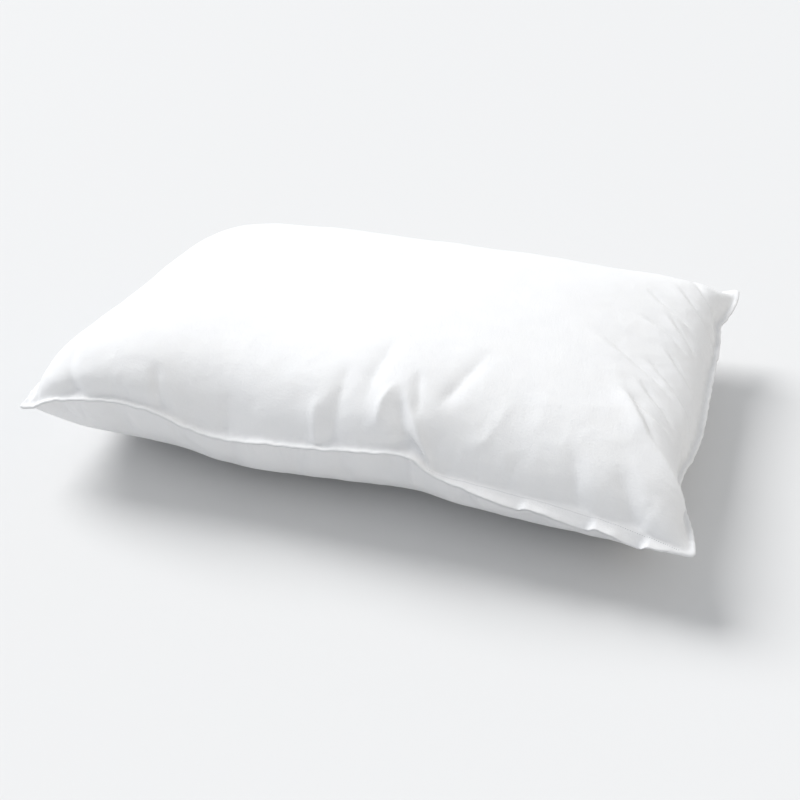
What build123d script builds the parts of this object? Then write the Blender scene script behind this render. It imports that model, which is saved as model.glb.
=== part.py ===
from build123d import *
import os

# A filled bed pillow lying flat, as its separate pieces.
#
# Millimetres, +Z up. The origin is on the resting plane under the middle of the pillow. +X runs along the
# long sides, and +Y from the front seam, which holds the closing seam, to the back seam.

# Driving dimensions: the filled pillow
LENGTH = 735.0  # corner to corner along X
WIDTH = 495.0  # corner to corner along Y
SEAM_HEIGHT = 76.0  # height of the sewn edge above the resting plane
CROWN_RISE = 89.0  # from the sewn edge up to the crown
BELLY_DROP = 122.0  # how far the underside would hang below the sewn edge, if nothing flattened it
LONG_PULL = 0.10  # share of the half width by which the middle of a long side pulls in
SHORT_PULL = 0.05  # share of the half length by which the middle of a short side pulls in

# Driving dimensions: cloth, seams and thread
CLOTH = 0.6  # thickness of one layer of ticking
RIM = 4.0  # width of the turned edge outside the filled body
HEM_EXTRA = 11.0  # how much further the closing hem reaches out than the turned edge
HEM_START, HEM_END = 0.27, 0.955  # the closing hem along +X, as shares of the half length
HEM_CLEARANCE = 0.5  # from the filled body out to the inner edge of the closing hem
FILL_ROOM = 3.0  # between the fibre and the seam threads that run inside the edge
FILL_GAP = 0.3  # between the fibre and the cloth
SEAM_THREAD_RADIUS = 0.3
SEAM_THREAD_INSET = 1.6  # from the inner edge of the cloth to the middle of the seam thread
SEAM_THREAD_ENDS = 0.06  # share of a side left free at each corner
STITCH_PITCH = 2.5
STITCH_LENGTH = 2.0
STITCH_RADIUS = 0.2
STITCH_CLEARANCE = 0.02
STITCH_OUTSET = 1.5  # from the filled body out to the closing stitches
BACKTACK_STITCHES = 5
BACKTACK_SPACING = 0.6  # between the side by side rows of a backtack
BACKTACK_ROWS = (-1, 1)

# The panels are Bezier patches of this degree. FULLNESS is the height of each row of control points as a
# share of the full rise: steep next to the seams, then an even crown.
DEGREE = 6
FULLNESS = (0.0, 1.45, 1.12, 0.78, 1.12, 1.45, 0.0)
ROWS = range(DEGREE + 1)
CROWN_SHARE = sum(  # what FULLNESS comes to in the middle of a side
    weight * count / 2**DEGREE for weight, count in zip(FULLNESS, (1, 6, 15, 20, 15, 6, 1))
)


def linear(row):
    """Control value of u, which runs from -1 to 1 across the patch."""
    return 2 * row / DEGREE - 1


def square(row):
    """Control value of u squared."""
    return 4 * row * (row - 1) / (DEGREE * (DEGREE - 1)) - 4 * row / DEGREE + 1


def plan_point(row_x, row_y, inset):
    """Where a control point stands in plan, on a pillow whose outline is smaller by inset."""
    x = (LENGTH / 2 - inset) * linear(row_x) * (1 - SHORT_PULL * (1 - square(row_y)))
    y = (WIDTH / 2 - inset) * linear(row_y) * (1 - LONG_PULL * (1 - square(row_x)))
    return x, y


def skin(inset, base, rise):
    """The curved face of a bowl: it leaves the height base at the outline and rises, or drops, by rise."""
    control = [
        [
            (*plan_point(i, j, inset), base + rise * FULLNESS[i] * FULLNESS[j] / CROWN_SHARE**2)
            for j in ROWS
        ]
        for i in ROWS
    ]
    outward = control if rise > 0 else control[::-1]
    return Face.make_bezier_surface(outward)


def side(name, inset, height=SEAM_HEIGHT):
    """One of the four concave edges of the outline."""
    ends = {
        "front": ((-1, -1), (1, -1)),
        "right": ((1, -1), (1, 1)),
        "back": ((1, 1), (-1, 1)),
        "left": ((-1, 1), (-1, -1)),
    }[name]
    start, end = [((LENGTH / 2 - inset) * x, (WIDTH / 2 - inset) * y) for x, y in ends]
    pull = LONG_PULL if name in ("front", "back") else SHORT_PULL
    middle = [(1 - 2 * pull) * (a + b) / 2 for a, b in zip(start, end)]
    return Edge.make_bezier(*[(x, y, height) for x, y in (start, middle, end)])


def outline(inset, height=SEAM_HEIGHT):
    """The flat face inside the outline."""
    return Face(Wire([side(name, inset, height) for name in ("front", "right", "back", "left")]))


def bowl(inset, base, rise, foot=None):
    """A solid dome, or hanging belly, on the outline at the height base; foot is where a belly is flattened."""
    body = Solid(Shell([skin(inset, base, rise), outline(inset, base)]))
    if foot is None:
        return body
    hanging = (Align.CENTER, Align.CENTER, Align.MAX)
    return body - Pos(0, 0, foot) * Box(2 * LENGTH, 2 * WIDTH, BELLY_DROP, align=hanging)


def hem(thickness):
    """One panel's share of the closing hem: two layers, outside the closing stitches, short of the corner."""
    start, end = HEM_START * LENGTH / 2, HEM_END * LENGTH / 2
    front = Pos((start + end) / 2, -WIDTH / 2, SEAM_HEIGHT)
    window = front * Box(end - start, WIDTH / 4, SEAM_HEIGHT, align=(Align.CENTER, Align.MIN, Align.CENTER))
    strip = extrude(outline(-HEM_EXTRA), amount=2 * thickness, dir=(0, 0, 1))
    inner = extrude(outline(RIM - HEM_CLEARANCE), amount=2 * thickness, dir=(0, 0, 1))
    return (strip - inner) & window


def panel(upward):
    """One cover panel: its crown or belly, the turned edge all round, and its share of the closing hem."""
    cloth = CLOTH if upward else -CLOTH
    edge = extrude(outline(0), amount=cloth, dir=(0, 0, 1))
    if upward:
        outside = bowl(RIM, SEAM_HEIGHT + CLOTH, CROWN_RISE - CLOTH)
        inside = bowl(RIM + CLOTH, SEAM_HEIGHT, CROWN_RISE - CLOTH)
    else:
        outside = bowl(RIM, SEAM_HEIGHT - CLOTH, CLOTH - BELLY_DROP, 0)
        inside = bowl(RIM + CLOTH, SEAM_HEIGHT, CLOTH - BELLY_DROP, CLOTH)
    return outside + edge + hem(cloth) - inside


def fibre_fill():
    """The fibre, which fills the cover up to the seam threads."""
    inset = RIM + CLOTH + FILL_ROOM
    crown = bowl(inset, SEAM_HEIGHT, CROWN_RISE - CLOTH - FILL_GAP)
    belly = bowl(inset, SEAM_HEIGHT, CLOTH + FILL_GAP - BELLY_DROP, CLOTH + FILL_GAP)
    return crown + belly


def seam_thread(name, start=SEAM_THREAD_ENDS, end=1 - SEAM_THREAD_ENDS):
    """The thread of one turned seam, an arc that runs inside the edge of the cover."""
    edge = side(name, RIM + CLOTH + SEAM_THREAD_INSET)
    path = Edge.make_three_point_arc(edge @ start, edge @ ((start + end) / 2), edge @ end)
    section = Plane(origin=path @ 0, z_dir=path % 0) * Circle(SEAM_THREAD_RADIUS)
    return sweep(section, path=path)


def stitch(path, at, upward, outset=0.0):
    """One stitch lying on the closing hem, along path at the share at of its length."""
    lift = 2 * CLOTH + STITCH_RADIUS + STITCH_CLEARANCE
    along = path % at
    across = along.cross(Vector(0, 0, 1))
    centre = path @ at + across * outset + Vector(0, 0, lift if upward else -lift)
    start = centre - along * (STITCH_LENGTH / 2)
    return extrude(Plane(origin=start, z_dir=along) * Circle(STITCH_RADIUS), amount=STITCH_LENGTH)


def stitch_places(path):
    """The shares of path's length at which the closing stitches stand."""
    spread = path.length * (HEM_END - HEM_START) / 2
    first = (1 + HEM_START) / 2
    count = int(spread / STITCH_PITCH) - 1
    return [first + (k + 1) * STITCH_PITCH / path.length for k in range(count)]


def closing_path():
    """The line that the closing stitches follow."""
    return side("front", RIM - STITCH_OUTSET)


def closing_thread(upward):
    """The row of closing stitches on the upper or the lower face of the hem."""
    path = closing_path()
    return Compound([stitch(path, at, upward) for at in stitch_places(path)])


def closing_backtacks():
    """The extra rows of stitches that lock both ends of the closing seam."""
    path = closing_path()
    places = stitch_places(path)
    locked = places[:BACKTACK_STITCHES] + places[-BACKTACK_STITCHES:]
    return Compound(
        [stitch(path, at, True, row * BACKTACK_SPACING) for at in locked for row in BACKTACK_ROWS]
    )


def main():
    parts = {
        "upper_panel": panel(True),
        "lower_panel": panel(False),
        "fibre_fill": fibre_fill(),
        "left_seam_thread": seam_thread("left"),
        "right_seam_thread": seam_thread("right"),
        "back_seam_thread": seam_thread("back"),
        "front_seam_thread": seam_thread("front", end=(1 + HEM_START) / 2),
        "closing_needle_thread": closing_thread(True),
        "closing_bobbin_thread": closing_thread(False),
        "closing_backtacks": closing_backtacks(),
    }
    os.makedirs("parts", exist_ok=True)
    for name, shape in parts.items():
        export_step(shape, f"parts/{name}.step")


main()
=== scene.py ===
"""A filled bed pillow lying flat: two sewn panels of white ticking, simulated as cloth around their fill."""

import bpy
import numpy as np
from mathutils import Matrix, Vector


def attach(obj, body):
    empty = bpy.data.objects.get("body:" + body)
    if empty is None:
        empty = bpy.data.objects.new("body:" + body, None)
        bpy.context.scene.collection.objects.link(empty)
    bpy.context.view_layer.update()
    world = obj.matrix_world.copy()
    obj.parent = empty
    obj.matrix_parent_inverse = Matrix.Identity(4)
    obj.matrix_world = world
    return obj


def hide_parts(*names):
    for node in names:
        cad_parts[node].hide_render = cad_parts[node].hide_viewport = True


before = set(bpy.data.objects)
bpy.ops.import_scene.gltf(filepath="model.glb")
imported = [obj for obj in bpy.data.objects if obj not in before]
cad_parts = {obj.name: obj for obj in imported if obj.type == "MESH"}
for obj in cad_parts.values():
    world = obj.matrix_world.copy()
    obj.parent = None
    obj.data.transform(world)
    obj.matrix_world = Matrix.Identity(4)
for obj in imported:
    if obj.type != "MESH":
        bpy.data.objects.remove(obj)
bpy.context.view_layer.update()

MM = 0.001

# ---------------------------------------------------------------- sizes, in millimetres
CUT = (738.0, 494.0)  # the flat cut inside the seams
COARSE = (45, 30)  # cells across the cut at the first level; each level halves them
RIM = 4.8  # how far the turned edge stands out from the seam
HEM = 15.5  # how far the closing hem stands out from the seam
HEM_FROM, HEM_TO = 0.27, 0.97  # the closing hem along the front seam, from -1 to 1
PITCH = 2.5  # of the closing stitches
STITCH_OUTSET = 1.7  # from the seam out to the closing stitches
BACKTACK_SPACING = 0.55  # from the closing stitches to the rows of a backtack on either side
BACKTACK_SHARE = 0.035  # how much of the front seam, from -1 to 1, a backtack covers
STITCHES_END = HEM_TO - 0.01  # where the closing stitches end, along the front seam
FLARE = 5.5  # how far the seams stand out from the filled body
FRONT_HEIGHT, BACK_HEIGHT = 83.0, 76.0  # of the even front and back seams above the floor


# ---------------------------------------------------------------- cloth
# How it moves: forces are in millimetres for each step of motion.
DAMPING, LAST_DAMPING = 0.94, 0.8  # share of its motion that the cloth keeps, and keeps near the end
FILL_PUSH = 0.02  # of the fill on the cloth, and its growth for each millimetre that the fill is squeezed
WEIGHT = 0.05
FLOOR_GRIP = 0.6  # share of its sliding that the floor takes back
SHEAR = 0.12  # how firmly the cells stay square
SEAM_PULL, CORNER_PULL = 0.025, 0.02  # share of the way to their height that the seams and ears move


def bspline(cells, n):
    """Indices and weights of a uniform cubic B-spline through n + 1 places over so many cells."""
    t = np.linspace(0, cells, n + 1)
    i = np.minimum(t.astype(int), cells - 1)
    f = t - i
    second = 3 * f**3 - 6 * f**2 + 4
    third = -3 * f**3 + 3 * f**2 + 3 * f + 1
    return i, np.stack([(1 - f) ** 3, second, third, f**3]) / 6


def soft_noise(n, cells, seed):
    """A smooth random height for every point of a grid of n cells, with bumps about as large as cells."""
    rows = np.random.default_rng(seed).standard_normal((cells[0] + 3, cells[1] + 3))
    i, wi = bspline(cells[0], n[0])
    j, wj = bspline(cells[1], n[1])
    total = np.zeros((n[0] + 1, n[1] + 1))
    for a in range(4):
        for b in range(4):
            total += wi[a][:, None] * wj[b][None, :] * rows[i + a][:, j + b]
    return total


def smoothstep(a, b, x):
    t = np.clip((x - a) / (b - a), 0, 1)
    return t * t * (3 - 2 * t)


def smooth_along(v, rounds):
    """Evens out a row of numbers; its two ends stay."""
    for _ in range(rounds):
        v = np.concatenate([v[:1], (v[:-2] + 2 * v[1:-1] + v[2:]) / 4, v[-1:]])
    return v


def smooth_line(line, rounds):
    return np.stack([smooth_along(coordinate, rounds) for coordinate in line.T], -1)


def unit(v):
    return v / np.maximum(np.linalg.norm(v, axis=-1, keepdims=True), 1e-9)


def hem_share(u):
    """The share of its full width that the closing hem has along the front seam: it tapers at both ends."""
    opens = smoothstep(HEM_FROM - 0.02, HEM_FROM + 0.22, u)
    return opens * (1 - smoothstep(HEM_TO - 0.12, HEM_TO + 0.02, u))


def square_places(n):
    """Places along the length and the width, from -1 to 1, of every point of a grid of n cells."""
    return np.meshgrid(np.linspace(-1, 1, n[0] + 1), np.linspace(-1, 1, n[1] + 1), indexing="ij")


class Cloth:
    """Both panels as one array: panel, place along the length, place along the width, xyz."""

    def __init__(self, n, points):
        self.n = n
        self.step_size = (CUT[0] / n[0], CUT[1] / n[1])
        self.P = points
        self.Q = points.copy()
        self.U, self.V = square_places(n)

    def finer(self):
        """The same cloth with cells half as large."""
        points = self.P
        for axis in (1, 2):
            p = np.moveaxis(points, axis, 0)
            ends = np.concatenate([2 * p[:1] - p[1:2], p, 2 * p[-1:] - p[-2:-1]])
            fine = np.empty((2 * len(p) - 1,) + p.shape[1:])
            fine[::2] = p
            fine[1::2] = (9 * (ends[1:-2] + ends[2:-1]) - ends[:-3] - ends[3:]) / 16
            points = np.moveaxis(fine, 0, axis)
        cloth = Cloth((2 * self.n[0], 2 * self.n[1]), points.copy())
        cloth.sew()
        return cloth

    def sew(self):
        """The two panels share their outline."""
        top, bottom = self.P
        for edge in ((slice(None), 0), (slice(None), -1), (0,), (-1,)):
            middle = (top[edge] + bottom[edge]) / 2
            top[edge] = middle
            bottom[edge] = middle

    def keep_lengths(self, axis):
        """Brings neighbours along one axis to their distance: fully when stretched, softly when squeezed."""
        P, rest = self.P, self.rest[axis]
        count = self.n[axis - 1]
        for parity in (0, 1):
            pairs = (count - parity + 1) // 2
            a, b = [slice(None)] * 3, [slice(None)] * 3
            a[axis] = slice(parity, parity + 2 * pairs - 1, 2)
            b[axis] = slice(parity + 1, parity + 2 * pairs, 2)
            a, b = tuple(a), tuple(b)
            d = P[b] - P[a]
            length = np.sqrt((d * d).sum(-1))
            over = length - rest[a]
            push = (0.5 * np.where(over > 0, 1.0, self.squeeze) * over / length)[..., None] * d
            P[a] += push
            P[b] -= push

    def keep_square(self):
        """Resists shear by keeping both diagonals of each cell."""
        P = self.P
        rest = float(np.hypot(*self.step_size))
        for i in (0, 1):
            for j in (0, 1):
                for flip in (False, True):
                    near_i, far_i = slice(i, self.n[0], 2), slice(i + 1, self.n[0] + 1, 2)
                    near_j, far_j = slice(j, self.n[1], 2), slice(j + 1, self.n[1] + 1, 2)
                    if flip:
                        near_j, far_j = far_j, near_j
                    d = P[:, far_i, far_j] - P[:, near_i, near_j]
                    length = np.sqrt((d * d).sum(-1))
                    over = length - rest
                    firmness = np.where(over > 0, self.shear, 0.3 * self.shear)
                    push = (0.5 * firmness * over / length)[..., None] * d
                    P[:, near_i, near_j] += push
                    P[:, far_i, far_j] -= push

    def unbend(self):
        """Resists bending."""
        for axis in (1, 2):
            p = np.moveaxis(self.P, axis, 0)
            curl = self.stiffness * (p[:-2] + p[2:] - 2 * p[1:-1])
            p[1:-1] += curl
            p[:-2] -= curl / 2
            p[2:] -= curl / 2

    def stay_up(self):
        """Nothing goes through the floor, and what touches it hardly slides."""
        P = self.P
        touching = (P[..., 2] < 0)[..., None]
        P[..., 2] = np.maximum(P[..., 2], 0)
        P[..., :2] += FLOOR_GRIP * touching * (self.Q[..., :2] - P[..., :2])

    def normals(self):
        """Outward normals of both panels, as long as the cells are stretched."""
        n = np.cross(np.gradient(self.P, axis=1), np.gradient(self.P, axis=2))
        n[1] *= -1
        return n / (self.step_size[0] * self.step_size[1])

    def settle(self, steps, rounds, force, pulls):
        """Steps of damped motion under the fill's push, its weight and the pulls."""
        for k in range(steps):
            P = self.P
            speed = (P - self.Q) * (DAMPING if k < 0.7 * steps else LAST_DAMPING)
            size = np.sqrt((speed * speed).sum(-1, keepdims=True))
            speed *= np.minimum(1, 1 / np.maximum(size, 1e-9))
            self.Q = P.copy()
            gap = P[0] - P[1]
            thickness = np.sqrt((gap * gap).sum(-1))
            push = FILL_PUSH + FILL_PUSH * np.clip(self.loft - thickness, -6, 40)
            move = self.normals() * push[None, ..., None]
            move[..., 2] -= WEIGHT
            P += speed + force * move
            for _ in range(rounds):
                self.keep_lengths(1)
                self.keep_lengths(2)
                self.keep_square()
                self.unbend()
                self.sew()
                self.stay_up()
            for pull in pulls:
                pull(self)


def first_shape(n):
    """A plump rectangle, from which the cloth settles."""
    u, v = square_places(n)
    x = 367 * u * (1 - 0.05 * (1 - v**2))
    y = 247 * v * (1 - 0.10 * (1 - u**2))
    swell = (1 - np.abs(u) ** 3.5) ** 0.6 * (1 - np.abs(v) ** 3.5) ** 0.6
    top = np.stack([x, y, 70 + 92 * swell], -1)
    bottom = np.stack([x, y, np.maximum(0, 70 - 80 * swell)], -1)
    return np.stack([top, bottom])


def loft(U, V, n):
    """How thick the fill wants to be: fuller at the left end, thinner towards the back of the right end."""
    end = np.where(U < 0, 6.0, 6.0 - 2.4 * smoothstep(-0.7, 0.4, V))
    front = 4.2 + 1.8 * (1 - smoothstep(-0.2, 0.5, U)) * (1 - smoothstep(-0.6, 0.2, V))
    full = 172 * (1 - np.abs(U) ** end) ** 0.5 * (1 - np.abs(V) ** front) ** 0.55
    full *= 1 + 0.30 * np.exp(-(((U - 0.90) / 0.13) ** 2) - ((V - 0.86) / 0.2) ** 2)
    full *= 1 - 0.10 * np.exp(-(((U + 0.85) / 0.25) ** 2) - ((V - 0.85) / 0.3) ** 2)
    return full * (1 + 0.08 * U * V) * (1 + 0.04 * soft_noise(n, (6, 4), 77))


CORNERS = {(-1, -1): 87.0, (1, -1): 68.0, (1, 1): 94.0, (-1, 1): 52.0}  # heights of the ears
CORNER_GATHER = {(-1, -1): 0.48, (1, -1): 0.22, (1, 1): 0.05, (-1, 1): 0.15}  # share gathered up there
CORNER_LIFT_REACH, CORNER_GATHER_REACH = 60.0, 45.0  # from the corner
# how far above its even line the front seam runs, as places along it from -1 to 1 and millimetres
FRONT_WANDER = ((-1.0, 0), (-0.94, 3), (-0.86, 20), (-0.8, 27), (-0.65, 35), (-0.52, 32), (-0.4, 13))
FRONT_WANDER += ((-0.3, 7), (-0.2, 15), (-0.05, 20), (0.1, 29), (0.225, 36), (0.285, 13), (0.4, 11))
FRONT_WANDER += ((0.6, 5), (0.8, 1), (1.0, 0))


def to_corner(cloth, u, v):
    """How far every point of the flat cut is from one corner."""
    return np.hypot((cloth.U - u) * CUT[0] / 2, (cloth.V - v) * CUT[1] / 2)


def lift_corners(cloth):
    for (u, v), height in CORNERS.items():
        i, j = (0 if u < 0 else -1), (0 if v < 0 else -1)
        weight = np.exp(-((to_corner(cloth, u, v) / CORNER_LIFT_REACH) ** 2))
        cloth.P[..., 2] += CORNER_PULL * weight * (height - cloth.P[0, i, j, 2])


def even_height(u, v, middle, power):
    """The height of the front or the back seam without its wander: level, then up or down to its two ears."""
    ends = np.where(u < 0, CORNERS[(-1, v)] - middle, CORNERS[(1, v)] - middle)
    return middle + ends * np.abs(u) ** power


def guide_seams(cloth):
    """The seams run at about half the pillow's height, and wander up and down."""
    reach = np.exp(-np.arange(cloth.n[1] // 2) * cloth.step_size[1] / 8)
    u = np.linspace(-1, 1, cloth.n[0] + 1)
    places, heights = np.array(FRONT_WANDER).T
    even = even_height(u, -1, FRONT_HEIGHT, 6)
    pull = SEAM_PULL * (even + np.interp(u, places, heights) - cloth.P[0, :, 0, 2])
    cloth.P[:, :, : len(reach), 2] += pull[:, None] * reach
    even = even_height(u, 1, BACK_HEIGHT, 5)
    wander = 3 * np.sin(19 * u + 1.0) + 2 * np.sin(31 * u)
    pull = SEAM_PULL * (even + wander - cloth.P[0, :, -1, 2])
    cloth.P[:, :, -len(reach) :, 2] += pull[:, None] * reach[::-1]
    # the right seam is tucked in at two places
    v = np.linspace(-1, 1, cloth.n[1] + 1)
    tuck = 0.15 * np.exp(-(((v - 0.70) / 0.10) ** 2)) + 0.3 * np.exp(-(((v + 0.55) / 0.2) ** 2))
    reach = np.exp(-np.arange(cloth.n[0] // 4) * cloth.step_size[0] / 10)
    cloth.P[:, -len(reach) :, :, 0] -= 0.5**cloth.level * tuck * reach[::-1, None]


# Creases on the upper panel. Each has points on the cut from -1 to 1, then its half width and its height in
# millimetres at both ends, below 0 in a valley, then the share of it that turns back again beside it: on its
# right side, or below 0 on its left.
CREASES = (
    # the fold that runs up from the start of the closing seam, and the hollow beside it
    (((0.28, -0.99), (0.25, -0.93), (0.22, -0.86), (0.19, -0.78), (0.165, -0.70)), (6, 6), (5, 2), 0.0),
    (((0.215, -1.0), (0.205, -0.93), (0.19, -0.86), (0.17, -0.78), (0.155, -0.70)), (16, 7), (-13, -4), 0.0),
    (((0.125, -0.92), (0.12, -0.80), (0.15, -0.69)), (6, 5), (3.5, 2.5), 0.0),
    (((0.085, -0.90), (0.08, -0.68), (0.09, -0.57), (0.095, -0.40)), (12, 11), (-5, -3), 0.3),
    (((0.185, -0.60), (0.21, -0.72), (0.225, -0.84)), (7, 7), (-3, -3), 0.3),
    # the slanting fold to its right
    (((0.35, -0.34), (0.32, -0.55), (0.29, -0.68), (0.265, -0.78)), (10, 9), (-3, -4.5), -0.2),
    # softer folds along the front
    (((0.46, -0.60), (0.42, -0.79), (0.37, -0.92)), (9, 8), (1.3, 1.6), 0.3),
    (((0.53, -0.52), (0.53, -0.78)), (12, 11), (1.0, 1.4), 0.3),
    (((0.01, -0.60), (0.005, -0.96)), (10, 9), (-2.2, -4), 0.4),
    (((-0.055, -0.78), (-0.045, -0.97)), (7, 6), (1.5, 2.5), 0.3),
    (((-0.52, -0.78), (-0.50, -0.97)), (8, 8), (-1.5, -2.6), 0.5),
    (((-0.80, -0.70), (-0.78, -0.86), (-0.76, -0.98)), (9, 10), (-3, -5), -0.4),
    (((-0.30, -0.80), (-0.31, -0.98)), (11, 9), (-0.8, -1.5), 0.5),
    (((0.73, -0.74), (0.785, -0.86), (0.81, -0.93), (0.82, -0.99)), (12, 15), (-4, -6), -0.5),
    (((0.62, -0.74), (0.655, -0.88), (0.67, -0.99)), (10, 13), (-3, -4.5), -0.5),
    # the ridge between the top and the right end
    (((0.64, -0.14), (0.73, -0.45), (0.79, -0.58), (0.87, -0.69), (0.95, -0.80)), (14, 7), (2.5, 6), 0.0),
    # fine slanting creases on the right end
    (((0.58, -0.02), (0.73, -0.15), (0.88, -0.28)), (5, 5), (-2.4, -4.1), 0.6),
    (((0.69, 0.25), (0.77, 0.22), (0.88, 0.14)), (4, 5), (-2.4, -3.5), 0.6),
    (((0.69, 0.51), (0.77, 0.42), (0.88, 0.35)), (4, 5), (-2.4, -3.5), 0.6),
    (((0.77, 0.38), (0.83, 0.28), (0.92, 0.18)), (4, 4), (-2.2, -3.2), 0.6),
    (((0.74, -0.06), (0.82, -0.15), (0.95, -0.27)), (4, 5), (-2.7, -4.3), 0.6),
    (((0.69, -0.35), (0.78, -0.44), (0.90, -0.50)), (5, 5), (-2.7, -4.6), 0.6),
    (((0.73, -0.24), (0.80, -0.35), (0.90, -0.44)), (4, 5), (-2.7, -4.1), 0.6),
    (((0.72, -0.38), (0.78, -0.50), (0.83, -0.62)), (5, 5), (-2.7, -4.1), 0.6),
    (((0.78, 0.10), (0.86, -0.02), (0.96, -0.12)), (4, 4), (-2.2, -3.8), 0.6),
    (((0.78, 0.66), (0.86, 0.54), (0.95, 0.48)), (5, 5), (-2.7, -4.6), 0.6),
    (((0.82, 0.84), (0.88, 0.70), (0.97, 0.64)), (7, 6), (-3, -5), 0.4),
)
# and on the lower panel, where it shows under the front seam
LOWER_CREASES = (
    (((0.225, -1.0), (0.22, -0.90), (0.235, -0.78)), (6, 9), (7.0, 2.8), -0.5),
    (((0.16, -0.98), (0.15, -0.80)), (10, 12), (-5.6, -4.2), 0.3),
    (((0.37, -0.98), (0.385, -0.80)), (9, 10), (-5.6, -4.2), 0.5),
    (((0.02, -0.97), (0.01, -0.76)), (9, 11), (-4.2, -4.2), 0.4),
    (((-0.10, -0.97), (-0.12, -0.78)), (8, 10), (-3.5, -3.5), 0.4),
    (((-0.30, -0.98), (-0.31, -0.74)), (9, 12), (-4.2, -4.2), 0.5),
    (((-0.47, -0.98), (-0.45, -0.80)), (8, 10), (-4.2, -3.5), -0.4),
    (((-0.66, -0.98), (-0.63, -0.76)), (9, 11), (-4.9, -4.2), 0.5),
    (((-0.84, -0.97), (-0.80, -0.80)), (9, 10), (-4.2, -4.2), 0.4),
    (((0.56, -0.97), (0.57, -0.80)), (9, 10), (-4.2, -4.2), 0.4),
    (((0.70, -0.97), (0.69, -0.82)), (8, 9), (-4.2, -2.8), -0.4),
    (((1.0, 0.72), (0.90, 0.70)), (9, 9), (-5.6, -4.2), 0.4),
    (((1.0, 0.40), (0.90, 0.36)), (8, 9), (-4.2, -4.2), 0.4),
)


FOLD_ROUND = 0.35  # how round a fold's top is, as a share of its half width
LIP_PLACE, LIP_SPREAD = 1.4, 3.2  # where the cloth beside a crease turns back, and how slowly it evens out


def fold(across):
    """The height of a fold at a distance from its line, where both are shares: 1 on the line."""
    return np.exp(1.3 * (FOLD_ROUND - np.sqrt(across * across + FOLD_ROUND**2)))


def crease_height(x, y, points, width, height, lip):
    """How far one crease lifts or sinks the places x, y."""
    line = np.array(points) * np.array(CUT) / 2
    t = np.linspace(0, 1, 24)
    steps = np.linspace(0, 1, len(line))
    line = smooth_line(np.stack([np.interp(t, steps, line[:, c]) for c in (0, 1)], -1), 6)
    near = np.full(x.shape, 1e9)
    across, share = np.zeros_like(x), np.zeros_like(x)
    for k in range(len(line) - 1):
        a, d = line[k], line[k + 1] - line[k]
        size = np.hypot(*d)
        s = np.clip(((x - a[0]) * d[0] + (y - a[1]) * d[1]) / size**2, 0, 1)
        gap_x, gap_y = x - a[0] - s * d[0], y - a[1] - s * d[1]
        gap = np.hypot(gap_x, gap_y)
        closer = gap < near
        near = np.where(closer, gap, near)
        across = np.where(closer, np.copysign(gap, gap_x * d[1] - gap_y * d[0]), across)
        share = np.where(closer, (k + s) / (len(line) - 1), share)
    w = width[0] + (width[1] - width[0]) * share
    h = height[0] + (height[1] - height[0]) * share
    # a crease fades out at each end, unless that end is on a seam
    for end, away in ((0, share), (-1, 1 - share)):
        if np.abs(points[end]).max() <= 0.92:
            h = h * smoothstep(0, 0.35, away)
    # the cloth beside it turns back, and evens out slowly
    beyond = np.sign(lip) * across / w - LIP_PLACE
    return h * (fold(across / w) - abs(lip) * fold(np.where(beyond > 0, beyond / LIP_SPREAD, beyond)))


PUCKERS_END = 0.93  # the puckers along the seams stop short of the corners


def press_creases(cloth):
    """Bends the panels along the creases, and puckers them all along the seams."""
    normal = unit(cloth.normals())
    x, y = cloth.U * CUT[0] / 2, cloth.V * CUT[1] / 2
    edge = np.minimum((1 - np.abs(cloth.V)) * CUT[1], (1 - np.abs(cloth.U)) * CUT[0]) / 2
    shares = np.random.default_rng(5)
    for side in (0, 1):
        total = sum(crease_height(x, y, *crease) for crease in (CREASES, LOWER_CREASES)[side])
        # the cloth is crumpled most along the front and at the right end
        slack = np.maximum(1 - smoothstep(-0.9, -0.2, cloth.V), smoothstep(0.45, 0.8, cloth.U))
        crumple = np.abs(soft_noise(cloth.n, (37, 25), 91 + side))
        crumple += 0.45 * np.abs(soft_noise(cloth.n, (83, 55), 93 + side))
        total -= (0.25 + 0.55 * slack) * crumple
        for axis, end in ((0, -1), (0, 1), (1, -1), (1, 1)):
            at = -PUCKERS_END
            while at < PUCKERS_END:
                length = shares.uniform(0.05, 0.20) * (1.0 if axis == 0 else 0.7)
                lean = shares.uniform(-0.03, 0.03)
                deep = shares.uniform(0.4, 2.6)
                wide = shares.uniform(3.0, 6.0)
                start, stop = (at, end), (at + lean, end * (1 - length))
                if axis == 1:
                    start, stop = start[::-1], stop[::-1]
                if side == 0 and axis == 0 and end < 0:
                    deep *= 0.5
                pucker = (start, stop), (wide, wide * 1.5), (-deep, -0.3 * deep), 0.7
                total += crease_height(x, y, *pucker)
                at += shares.uniform(14, 46) / (CUT[axis] / 2)
        cloth.P[side] += normal[side] * (total * smoothstep(-2, 7, edge))[..., None]
    cloth.stay_up()


def plan_outward(line, outward):
    """Level directions square to a seam, pointing outward."""
    tangent = np.gradient(smooth_line(line[:, :2], 60), axis=0)
    out = unit(np.stack([tangent[:, 1], -tangent[:, 0], np.zeros(len(line))], -1))
    return out * np.sign((out * np.array(outward)).sum(-1, keepdims=True))


FRONT, BACK, LEFT, RIGHT = (0, -1, 0), (0, 1, 0), (-1, 0, 0), (1, 0, 0)


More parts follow.
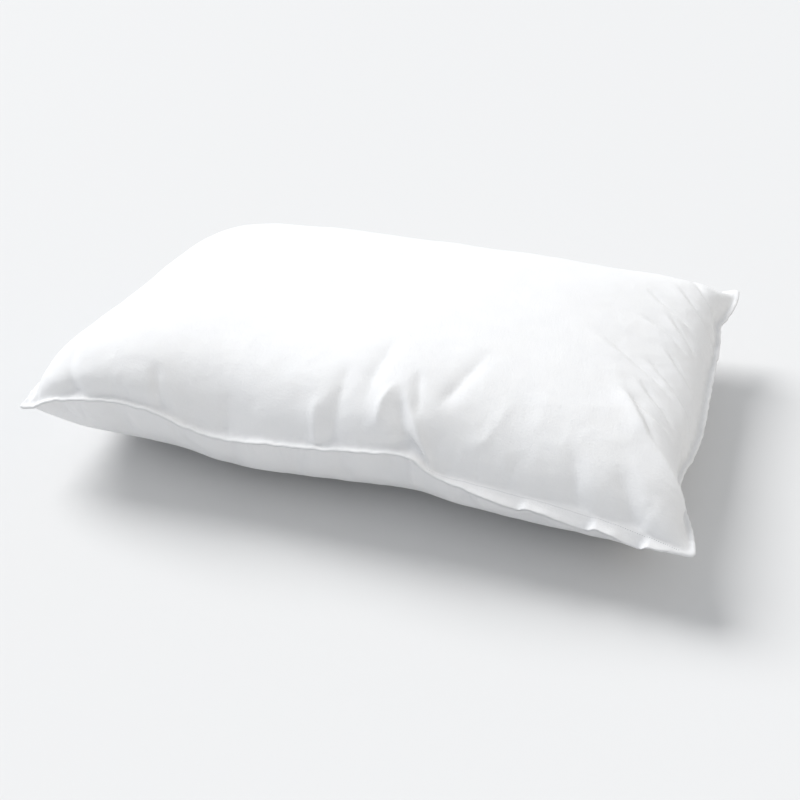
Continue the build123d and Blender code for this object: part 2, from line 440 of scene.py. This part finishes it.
def flare_seams(cloth):
    """Evens the seams out, and turns both panels outward next to them, so that each seam is a ridge."""
    wobble = np.random.default_rng(12)
    for outward in (FRONT, BACK, LEFT, RIGHT):
        axis = 2 if outward[1] else 1
        rows = np.moveaxis(cloth.P, axis, 1)[:, :: -1 if max(outward) else 1]
        reach = np.arange(16) * cloth.step_size[axis - 1]
        seam = rows[0, 0].copy()
        even = smooth_line(seam, 8)
        along = np.linspace(0, 1, len(seam)) * CUT[2 - axis]
        waves = (11, 17, 26, 41)
        pucker = sum(np.sin(along * 2 * np.pi / wave + wobble.uniform(0, 6.3)) for wave in waves) / len(waves)
        beside_corner = np.exp(-((np.minimum(along, along[-1] - along) / 32) ** 2))
        stitched = hem_share(np.linspace(-1, 1, len(seam))) if outward == FRONT else 0.0
        pucker = pucker * (1 - 0.7 * stitched)
        stand_out = (FLARE * (1 - 0.45 * stitched) + 0.8 * pucker) * (1 - 0.85 * beside_corner)
        shift = even - seam + plan_outward(even, outward) * stand_out[:, None]
        shift[:, 2] += 0.7 * np.roll(pucker, 5)
        for k, distance in enumerate(reach):
            near = np.exp(-distance / 4)
            flat = rows[:, k, :, 2] - seam[:, 2]
            rows[:, k, :, 2] -= 0.75 * near * flat
            rows[:, k] += shift * near
    cloth.sew()


# for each level: steps of motion, rounds in each step, how firmly the cloth takes squeezing and bending, and
# the roughness in millimetres that its wrinkles start from
LEVELS = (
    (300, 6, 0.15, 0.03, 6.0),
    (160, 5, 0.35, 0.06, 2.0),
    (120, 4, 0.60, 0.12, 0.8),
    (45, 3, 0.70, 0.20, 0.25),
)
GATHER_REACH = 14.0  # how far from a seam the cloth is gathered


def rest_lengths(cloth):
    """The cloth's own distances between neighbours: the seams and corners are gathered a little."""
    along = np.full((2, cloth.n[0] + 1, cloth.n[1] + 1), cloth.step_size[0])
    across = np.full((2, cloth.n[0] + 1, cloth.n[1] + 1), cloth.step_size[1])
    to_front = (1 + cloth.V) * CUT[1] / 2
    to_back = (1 - cloth.V) * CUT[1] / 2
    to_side = (1 - np.abs(cloth.U)) * CUT[0] / 2
    along *= 1 - (0.03 * np.exp(-to_back / GATHER_REACH) - 0.01 * np.exp(-to_front / GATHER_REACH))[None]
    across *= 1 - 0.03 * np.exp(-to_side / GATHER_REACH)[None]
    for (u, v), gather in CORNER_GATHER.items():
        shorter = 1 - gather * np.exp(-((to_corner(cloth, u, v) / CORNER_GATHER_REACH) ** 2))[None]
        along *= shorter
        across *= shorter
    return None, along, across


def shape_cloth():
    """Settles the sewn panels, level by level, then presses their creases."""
    cloth = Cloth(COARSE, first_shape(COARSE))
    for level, (steps, rounds, squeeze, stiffness, rough) in enumerate(LEVELS[: 4]):
        if level:
            cloth = cloth.finer()
        cloth.level = level
        cloth.shear, cloth.squeeze, cloth.stiffness = SHEAR, squeeze, stiffness
        cloth.loft = loft(cloth.U, cloth.V, cloth.n)
        cloth.rest = rest_lengths(cloth)
        bumps = [cells // (3 if level > 1 else 6) for cells in cloth.n]
        for side in (0, 1):
            bump = soft_noise(cloth.n, bumps, 10 * level + side)
            cloth.P[side, 1:-1, 1:-1, 2] += rough * bump[1:-1, 1:-1]
        cloth.settle(steps, rounds, 0.25**level, (lift_corners, guide_seams))
    press_creases(cloth)
    flare_seams(cloth)
    return cloth


cloth = shape_cloth()
P = cloth.P
NX, NY = cloth.n


# ---------------------------------------------------------------- the sewn edge
# Rows of points across the edge, from the seam outward
RIM_OUT = np.array([0.0, 0.30, 0.62, 0.88, 1.0, 0.93])  # share of the edge's width
RIM_UP = np.array([1.7, 2.1, 2.25, 1.85, 1.0, 0.12])  # height above the seam's plane, mm
HEM_UP = np.array([0.8, 0.45, 0.9, 1.1, 0.8, 0.12])  # the same on the closing hem, which is pressed flat
ROWS = len(RIM_OUT) - 1
UNDER = 0.55  # how thick the lower half of the edge is, as a share of the upper half


def side_frames(line, outward):
    """For the points of a seam: outward and upward directions."""
    out = plan_outward(line, outward)
    tangent = unit(np.gradient(line, axis=0))
    out = unit(out - tangent * (out * tangent).sum(-1, keepdims=True))
    up = np.cross(tangent, out)
    return out, unit(up * np.sign(up[:, 2:]))


seams = {"front": P[0, :, 0], "back": P[0, :, -1], "left": P[0, 0], "right": P[0, -1]}
outward = {"front": FRONT, "back": BACK, "left": LEFT, "right": RIGHT}
sides = {name: side_frames(seam, outward[name]) for name, seam in seams.items()}
u_line = np.linspace(-1, 1, NX + 1)
front_width = RIM + (HEM - RIM) * hem_share(u_line)
# the turned edge stands up a little, and the hem hangs down by more or less: places along it and degrees
HANG = ((-1, -5), (0.2, -5), (0.28, 5), (0.45, 20), (0.53, 38), (0.542, 12), (0.60, 17), (0.66, 40))
HANG += ((0.715, 58), (0.728, 12), (0.78, 17), (0.82, 40), (0.862, 58), (0.877, 12), (0.96, 18), (1, 18))
droop = np.radians(smooth_along(np.interp(u_line, *np.array(HANG).T), 1))[:, None]
out, up = sides["front"]
out, up = out * np.cos(droop) - up * np.sin(droop), up * np.cos(droop) + out * np.sin(droop)
sides["front"] = (out, up)


def with_edge(side):
    """A panel's grid with the rows of its sewn edge all round: the upper panel for 1, the lower for -1."""
    panel = P[0 if side > 0 else 1].copy()
    # next to the seams, the panel rises to the thickness of the edge
    lift = np.zeros_like(panel)
    for j, share in enumerate(np.exp(-np.arange(16) * cloth.step_size[1] / 7.0)):
        lift[:, j] += sides["front"][1] * share
        lift[:, -1 - j] += sides["back"][1] * share
        lift[j] += sides["left"][1] * share
        lift[-1 - j] += sides["right"][1] * share
    size = np.linalg.norm(lift, axis=-1, keepdims=True)
    lift *= np.minimum(1, 1 / np.maximum(size, 1e-9))
    thick = side * (1.0 if side > 0 else UNDER)
    panel += thick * RIM_UP[0] * lift
    r = ROWS
    grid = np.zeros((NX + 1 + 2 * r, NY + 1 + 2 * r, 3))
    inside = slice(r, -r)
    grid[inside, inside] = panel
    front_up = RIM_UP + (HEM_UP - RIM_UP) * hem_share(u_line)[:, None]
    for k in range(1, r + 1):
        width = {"front": front_width[:, None]}
        rise = {"front": front_up[:, k : k + 1]}
        place = {
            "front": (inside, r - k),
            "back": (inside, -1 - r + k),
            "left": (r - k, inside),
            "right": (-1 - r + k, inside),
        }
        for name, (out, up) in sides.items():
            reach = out * width.get(name, RIM) * RIM_OUT[k]
            grid[place[name]] = seams[name] + reach + thick * up * rise.get(name, RIM_UP[k])
    for i, side_x in ((0, "left"), (-1, "right")):
        for j, side_y in ((0, "front"), (-1, "back")):
            out_x, up_x = (v[j] for v in sides[side_x])
            out_y, up_y = (v[i] for v in sides[side_y])
            up = unit(up_x + up_y)
            for a in range(1, r + 1):
                for b in range(1, r + 1):
                    reach_x, reach_y = RIM_OUT[a] * RIM, RIM_OUT[b] * RIM
                    rounding = max(reach_x, reach_y) / np.hypot(reach_x, reach_y)
                    reach = (out_x * reach_x + out_y * reach_y) * rounding
                    row = r - a if i == 0 else NX + r + a
                    column = r - b if j == 0 else NY + r + b
                    grid[row, column] = P[0, i, j] + reach + thick * up * RIM_UP[max(a, b)]
    return grid


def add_mesh(name, points, faces, cut=None):
    """A new object from points in millimetres, and where they lie on the flat cut, if that is given."""
    mesh = bpy.data.meshes.new(name)
    points = np.asarray(points, dtype=np.float32).reshape(-1, 3) * MM
    faces = np.asarray(faces, dtype=np.int32)
    mesh.vertices.add(len(points))
    mesh.vertices.foreach_set("co", points.ravel())
    mesh.loops.add(faces.size)
    mesh.loops.foreach_set("vertex_index", faces.ravel())
    mesh.polygons.add(len(faces))
    mesh.polygons.foreach_set("loop_start", np.arange(0, faces.size, faces.shape[1], dtype=np.int32))
    mesh.polygons.foreach_set("use_smooth", np.ones(len(faces), dtype=bool))
    if cut is not None:
        layer = mesh.uv_layers.new(name="cut")
        corners = np.asarray(cut, dtype=np.float32).reshape(-1, 2)[faces.ravel()]
        layer.data.foreach_set("uv", corners.ravel())
    mesh.update()
    mesh.validate()
    obj = bpy.data.objects.new(name, mesh)
    bpy.context.collection.objects.link(obj)
    return obj


def grid_faces(rows, columns, flip):
    """Four-sided faces over a grid of points; flip turns them over."""
    i, j = np.meshgrid(np.arange(rows - 1), np.arange(columns - 1), indexing="ij")
    a = (i * columns + j).ravel()
    faces = np.stack([a, a + columns, a + columns + 1, a + 1], -1)
    return faces[:, ::-1] if flip else faces


def cut_places():
    """Where each point of a panel's grid lies on the flat cut, in metres."""
    reach = RIM_OUT[1:] * RIM
    x = np.concatenate([-reach[::-1], np.linspace(0, CUT[0], NX + 1), CUT[0] + reach])
    y = np.concatenate([-reach[::-1], np.linspace(0, CUT[1], NY + 1), CUT[1] + reach])
    places = np.stack(np.meshgrid(x, y, indexing="ij"), -1)
    places[ROWS:-ROWS, :ROWS, 1] = -(front_width[:, None] * RIM_OUT[None, :0:-1])
    return places * MM


def panel(name, side):
    """A whole cover panel, with its turned edge and its half of the closing hem."""
    grid = with_edge(side)
    return add_mesh(name, grid, grid_faces(*grid.shape[:2], side < 0), cut_places())


upper = panel("upper_panel_cloth", 1)
lower = panel("lower_panel_cloth", -1)


# ---------------------------------------------------------------- threads
THREAD_SIDES = 6


def tube(path, up, radius):
    """Points and faces of a round tube along a path, open at its ends, which lie inside the cloth."""
    path = np.asarray(path)
    tangent = unit(np.gradient(path, axis=0))
    across = unit(np.cross(tangent, up))
    rise = np.cross(across, tangent)
    turn = np.arange(THREAD_SIDES) * 2 * np.pi / THREAD_SIDES
    radius = np.broadcast_to(np.asarray(radius, float).reshape(-1, 1, 1), (len(path), 1, 1))
    ring = np.cos(turn)[None, :, None] * across[:, None] + np.sin(turn)[None, :, None] * rise[:, None]
    points = (path[:, None] + radius * ring).reshape(-1, 3)
    faces = []
    for start in range(0, (len(path) - 1) * THREAD_SIDES, THREAD_SIDES):
        for q in range(THREAD_SIDES):
            a, b = start + q, start + (q + 1) % THREAD_SIDES
            faces.append((a, b, b + THREAD_SIDES, a + THREAD_SIDES))
    return points, faces


def hem_height(width, at):
    """The closing hem's half thickness at a distance outside the seam."""
    return np.interp(at, RIM_OUT[:5] * width, HEM_UP[:5])


# One lockstitch: places along it as shares of the pitch, its height and its radius there
STITCH_ALONG = np.array([0.10, 0.2, 0.35, 0.5, 0.65, 0.8, 0.90])
STITCH_ARCH = np.array([-0.22, 0.02, 0.12, 0.15, 0.12, 0.02, -0.22])
STITCH_RADIUS = (0.12, 0.19, 0.22, 0.23, 0.22, 0.19, 0.12)
STITCH_RISE = 0.06  # above the hem
SEAM_THREAD_INSET, SEAM_THREAD_RADIUS = 1.2, 0.3


def join(tubes):
    """One list of points and one of faces from several."""
    points, faces = [], []
    for more_points, more_faces in tubes:
        faces += [tuple(len(points) + q for q in face) for face in more_faces]
        points += list(more_points)
    return points, faces


def stitches(side, first, last, outset):
    """A row of lockstitches on the hem: short arched lengths of thread whose ends dive into the cloth."""
    out, up = sides["front"]
    along = np.linspace(0, CUT[0], NX + 1)
    begin, end = ((1 + u) / 2 * CUT[0] / PITCH for u in (first, last))
    tubes = []
    for k in range(int(np.ceil(begin)), int(end)):
        s = (k + STITCH_ALONG) * PITCH
        seam, o, n = (np.stack([np.interp(s, along, c) for c in a.T], -1) for a in (seams["front"], out, up))
        width = float(np.interp(s, along, front_width).mean())
        thick = hem_height(width, outset) * (1.0 if side > 0 else UNDER)
        height = thick + STITCH_RISE + STITCH_ARCH
        path = seam + unit(o) * outset + side * unit(n) * height[:, None]
        tubes.append(tube(path, unit(n), STITCH_RADIUS))
    return join(tubes)


def seam_thread(name, first, last):
    """The thread of a turned seam, inside the cover."""
    out, up = sides[name]
    share = np.linspace(-1, 1, len(seams[name]))
    keep = (share > first) & (share < last)
    path = (seams[name] - out * SEAM_THREAD_INSET)[keep][::2]
    return add_mesh(name + "_seam_stitches", *tube(path, up[keep][::2], SEAM_THREAD_RADIUS))


needle = add_mesh("closing_needle_stitches", *stitches(1, HEM_FROM, STITCHES_END, STITCH_OUTSET))
bobbin = add_mesh("closing_bobbin_stitches", *stitches(-1, HEM_FROM, STITCHES_END, STITCH_OUTSET))
locked = ((HEM_FROM, HEM_FROM + BACKTACK_SHARE), (STITCHES_END - BACKTACK_SHARE, STITCHES_END))
beside = (STITCH_OUTSET - BACKTACK_SPACING, STITCH_OUTSET + BACKTACK_SPACING)
tack_rows = join(stitches(1, first, last, outset) for outset in beside for first, last in locked)
tacks = add_mesh("closing_backtack_stitches", *tack_rows)
seam_threads = {name: seam_thread(name, -0.94, 0.94) for name in ("left", "right", "back")}
seam_threads["front"] = seam_thread("front", -0.94, HEM_FROM)


# ---------------------------------------------------------------- fibre, inside the cover
FILL_HEIGHT, FILL_REACH = 0.96, 0.985  # of the room inside the cover
stride = 4
core = P[:, ::stride, ::stride]
middle = core.mean(axis=0)
inner = middle + (core - middle) * FILL_HEIGHT
flat = np.abs(core[:1] - core[1:]).max(-1, keepdims=True) < 4
inner = np.where(flat, middle, inner)
inner[..., :2] *= FILL_REACH
rows, columns = inner.shape[1:3]
fill_faces = [rows * columns * side + grid_faces(rows, columns, side == 1) for side in (0, 1)]
fill = add_mesh("fibre_fill_core", inner.reshape(-1, 3), np.concatenate(fill_faces))


# ---------------------------------------------------------------- materials
class Material:
    """A new material, and short names for building its nodes."""

    def __init__(self, name):
        self.made = bpy.data.materials.new(name)
        self.made.use_nodes = True
        self.nodes, self.links = self.made.node_tree.nodes, self.made.node_tree.links

    def put(self, value, socket):
        if isinstance(value, bpy.types.NodeSocket):
            self.links.new(value, socket)
        else:
            socket.default_value = value

    def surface(self, **inputs):
        """Sets the shader's inputs, which are written in small letters with _ for a space."""
        shader = self.nodes["Principled BSDF"]
        sockets = {socket.name.lower().replace(" ", "_"): socket for socket in shader.inputs}
        for name, value in inputs.items():
            self.put(value, sockets[name])
        return self.made

    def place(self):
        """Places on the piece itself, in metres."""
        return self.nodes.new("ShaderNodeTexCoord").outputs["Object"]

    def math(self, operation, *values):
        node = self.nodes.new("ShaderNodeMath")
        node.operation = operation
        for value, socket in zip(values, node.inputs):
            self.put(value, socket)
        return node.outputs[0]

    def stretch(self, vector, x, y, z):
        node = self.nodes.new("ShaderNodeVectorMath")
        node.operation = "MULTIPLY"
        self.put(vector, node.inputs[0])
        node.inputs[1].default_value = (x, y, z)
        return node.outputs[0]

    def noise(self, vector, scale, detail, roughness=0.5):
        node = self.nodes.new("ShaderNodeTexNoise")
        self.put(vector, node.inputs["Vector"])
        node.inputs["Scale"].default_value = scale
        node.inputs["Detail"].default_value = detail
        node.inputs["Roughness"].default_value = roughness
        return node.outputs["Fac"]

    def spread(self, value, low=0.0, high=1.0):
        """Takes a value around 0.3 to 0.7 to the range from low to high."""
        node = self.nodes.new("ShaderNodeMapRange")
        self.put(value, node.inputs["Value"])
        limits = {"From Min": 0.3, "From Max": 0.7, "To Min": low, "To Max": high}
        for socket, number in limits.items():
            node.inputs[socket].default_value = number
        return node.outputs["Result"]

    def bump(self, height, distance, below=None):
        node = self.nodes.new("ShaderNodeBump")
        self.put(height, node.inputs["Height"])
        node.inputs["Distance"].default_value = distance
        if below is not None:
            self.put(below, node.inputs["Normal"])
        return node.outputs["Normal"]

    def tint(self, share, dark, light):
        """A colour between dark and light."""
        node = self.nodes.new("ShaderNodeMix")
        node.data_type = "RGBA"
        self.put(share, node.inputs["Factor"])
        self.put(dark, node.inputs[6])
        self.put(light, node.inputs[7])
        return node.outputs[2]


YARN = 0.45  # from one yarn of the ticking to the next, in millimetres
HOLE = 0.36  # radius of a needle hole's dot of painted shade
# painted shade: the shadow inside each needle hole is painted as a dark dot of colour on the ticking
HOLE_SHADE_COLOUR = (0.38, 0.38, 0.40, 1)


def needle_hole_shade(m, x, y):
    """1 in the needle holes between the closing stitches, where their shade is painted dark, else 0; x and y
    are places on the cut in metres.
    """
    x, y = m.math("DIVIDE", x, MM), m.math("DIVIDE", y, MM)
    nearest = m.math("MULTIPLY", m.math("ROUND", m.math("DIVIDE", x, PITCH)), PITCH)
    along = m.math("POWER", m.math("SUBTRACT", x, nearest), 2.0)
    across = m.math("POWER", m.math("ADD", y, STITCH_OUTSET), 2.0)
    hole_shade = m.math("LESS_THAN", m.math("SQRT", m.math("ADD", along, across)), HOLE)
    first, last = ((1 + end) / 2 * CUT[0] for end in (HEM_FROM, HEM_TO))
    hole_shade = m.math("MULTIPLY", hole_shade, m.math("GREATER_THAN", x, first))
    return m.math("MULTIPLY", hole_shade, m.math("LESS_THAN", x, last))


def weave_height(m, x, y):
    """Yarns over and under each other; x and y are places on the cut in metres."""
    warp, weft = (m.math("SINE", m.math("MULTIPLY", place, np.pi / (YARN * MM))) for place in (x, y))
    over = m.math("GREATER_THAN", m.math("MULTIPLY", warp, weft), 0.0)
    under = m.math("SUBTRACT", 1.0, over)
    raised_warp = m.math("MULTIPLY", over, m.math("ABSOLUTE", warp))
    return m.math("ADD", raised_warp, m.math("MULTIPLY", under, m.math("ABSOLUTE", weft)))


def ticking(name, dark, light):
    """Fine plain-woven cotton, with yarns thick and thin, softly crinkled, and painted shade down between its
    yarns.
    """
    m = Material(name)
    uv = m.nodes.new("ShaderNodeUVMap")
    uv.uv_map = "cut"
    place = uv.outputs["UV"]
    split = m.nodes.new("ShaderNodeSeparateXYZ")
    m.put(place, split.inputs[0])
    x, y = split.outputs[0], split.outputs[1]
    weave = weave_height(m, x, y)
    thick_warp = m.noise(m.stretch(place, 1 / (YARN * MM), 25, 1), 1.0, 2)
    thick_weft = m.noise(m.stretch(place, 25, 1 / (YARN * MM), 1), 1.0, 2)
    slubs = m.math("MULTIPLY", m.math("ADD", thick_warp, thick_weft), 0.5)
    patches = m.noise(place, 28, 4)
    crinkle = m.noise(place, 420, 4, 0.6)
    creasing = m.noise(m.stretch(place, 1, 0.55, 1), 75, 3, 0.55)
    # the colour follows the weave's height, darker down between the yarns: painted shade; the patches and the
    # thick and thin yarns are the cloth's own tone
    share = m.math("ADD", m.math("MULTIPLY", patches, 0.35), m.math("MULTIPLY", weave, 0.15))
    share = m.math("ADD", m.math("MULTIPLY", slubs, 0.5), share)
    normal = None
    for height, distance in ((creasing, 0.22), (crinkle, 0.40), (slubs, 0.12), (weave, 0.06)):
        normal = m.bump(height, distance * MM, normal)
    return m.surface(
        # the needle holes' painted shade darkens the cloth's colour in dots along the closing stitches
        base_color=m.tint(needle_hole_shade(m, x, y), m.tint(m.spread(share), dark, light), HOLE_SHADE_COLOUR),
        roughness=m.spread(slubs, 0.78, 0.92),
        normal=normal,
        sheen_weight=0.25,
        sheen_roughness=0.4,
        specular_ior_level=0.25,
    )


def thread(name, dark, light):
    """Twisted polyester sewing thread, a little glossier than the ticking."""
    m = Material(name)
    place = m.place()
    twist = m.nodes.new("ShaderNodeTexWave")
    twist.bands_direction = "DIAGONAL"
    m.put(place, twist.inputs["Vector"])
    twist.inputs["Scale"].default_value = 900
    twist.inputs["Distortion"].default_value = 1.5
    fuzz = m.noise(place, 4000, 3)
    return m.surface(
        base_color=m.tint(m.spread(fuzz), dark, light),
        roughness=0.5,
        normal=m.bump(fuzz, 0.04 * MM, m.bump(twist.outputs["Fac"], 0.08 * MM)),
        sheen_weight=0.15,
    )


def fibre(name, dark, light):
    """Loose crimped fibre: matt, cloudy, with fine strands."""
    m = Material(name)
    place = m.place()
    clouds = m.noise(place, 40, 4)
    strands = m.noise(m.stretch(place, 1, 0.15, 0.4), 1500, 6, 0.7)
    return m.surface(
        base_color=m.tint(m.spread(clouds), dark, light),
        roughness=0.95,
        normal=m.bump(strands, 0.6 * MM, m.bump(clouds, 4 * MM)),
        sheen_weight=0.4,
    )


cloth_material = ticking("white_ticking", (0.845, 0.848, 0.86, 1), (0.895, 0.893, 0.89, 1))
thread_material = thread("white_thread", (0.80, 0.80, 0.80, 1), (0.90, 0.90, 0.90, 1))
fibre_material = fibre("white_fibre", (0.86, 0.86, 0.84, 1), (0.94, 0.94, 0.93, 1))
for piece in (upper, lower):
    piece.data.materials.append(cloth_material)
for piece in (needle, bobbin, tacks, *seam_threads.values()):
    piece.data.materials.append(thread_material)
fill.data.materials.append(fibre_material)

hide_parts("upper_panel")
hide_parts("lower_panel")
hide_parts("fibre_fill")
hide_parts("closing_needle_thread")
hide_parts("closing_bobbin_thread")
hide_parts("closing_backtacks")
for name, piece in seam_threads.items():
    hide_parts(name + "_seam_thread")
for piece in (upper, lower, fill, needle, bobbin, tacks, *seam_threads.values()):
    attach(piece, "root")

# ---------------------------------------------------------------- studio
bpy.ops.mesh.primitive_plane_add(size=12, location=(0, 0, -0.5 * MM))
floor = bpy.context.object
floor.name = "studio_floor"
floor_material = Material("studio_floor_white").surface(base_color=(0.72, 0.72, 0.72, 1), roughness=0.9)
floor.data.materials.append(floor_material)


def sun_light(name, place, spread, strength, colour):
    """A broad, far light shining from place towards the origin."""
    data = bpy.data.lights.new(name, "SUN")
    data.angle = np.radians(spread)
    data.energy = strength
    data.color = colour
    obj = bpy.data.objects.new(name, data)
    bpy.context.collection.objects.link(obj)
    obj.rotation_euler = Vector(place).to_track_quat("Z", "Y").to_euler()
    return obj


sun_light("overhead_light", (-0.92, 0.42, 1.0), 34, 2.65, (1.0, 1.0, 1.0))
sun_light("right_fill", (1.0, -0.1, 0.45), 60, 0.30, (1.0, 0.80, 0.50))
world = bpy.data.worlds.new("studio_world")
world.use_nodes = True
sky = world.node_tree.nodes["Background"].inputs
sky["Color"].default_value = (0.925, 0.958, 1, 1)
sky["Strength"].default_value = 0.635
bpy.context.scene.world = world

AZIMUTH, ELEVATION = 18.10, 34.82  # of the camera, in degrees
DISTANCE, LENS = 1.320, 52.27
TARGET = Vector((0.0132, -0.0586, 0.058))
azimuth, elevation = np.radians(AZIMUTH), np.radians(ELEVATION)
away = Vector((np.sin(azimuth) * np.cos(elevation), -np.cos(azimuth) * np.cos(elevation), np.sin(elevation)))
camera_data = bpy.data.cameras.new("studio_camera")
camera_data.lens = LENS
camera_data.sensor_width = 36
camera = bpy.data.objects.new("studio_camera", camera_data)
camera.location = TARGET + away * DISTANCE
camera.rotation_euler = away.to_track_quat("Z", "Y").to_euler()
bpy.context.collection.objects.link(camera)
bpy.context.scene.camera = camera
bpy.context.scene.view_settings.view_transform = "Standard"
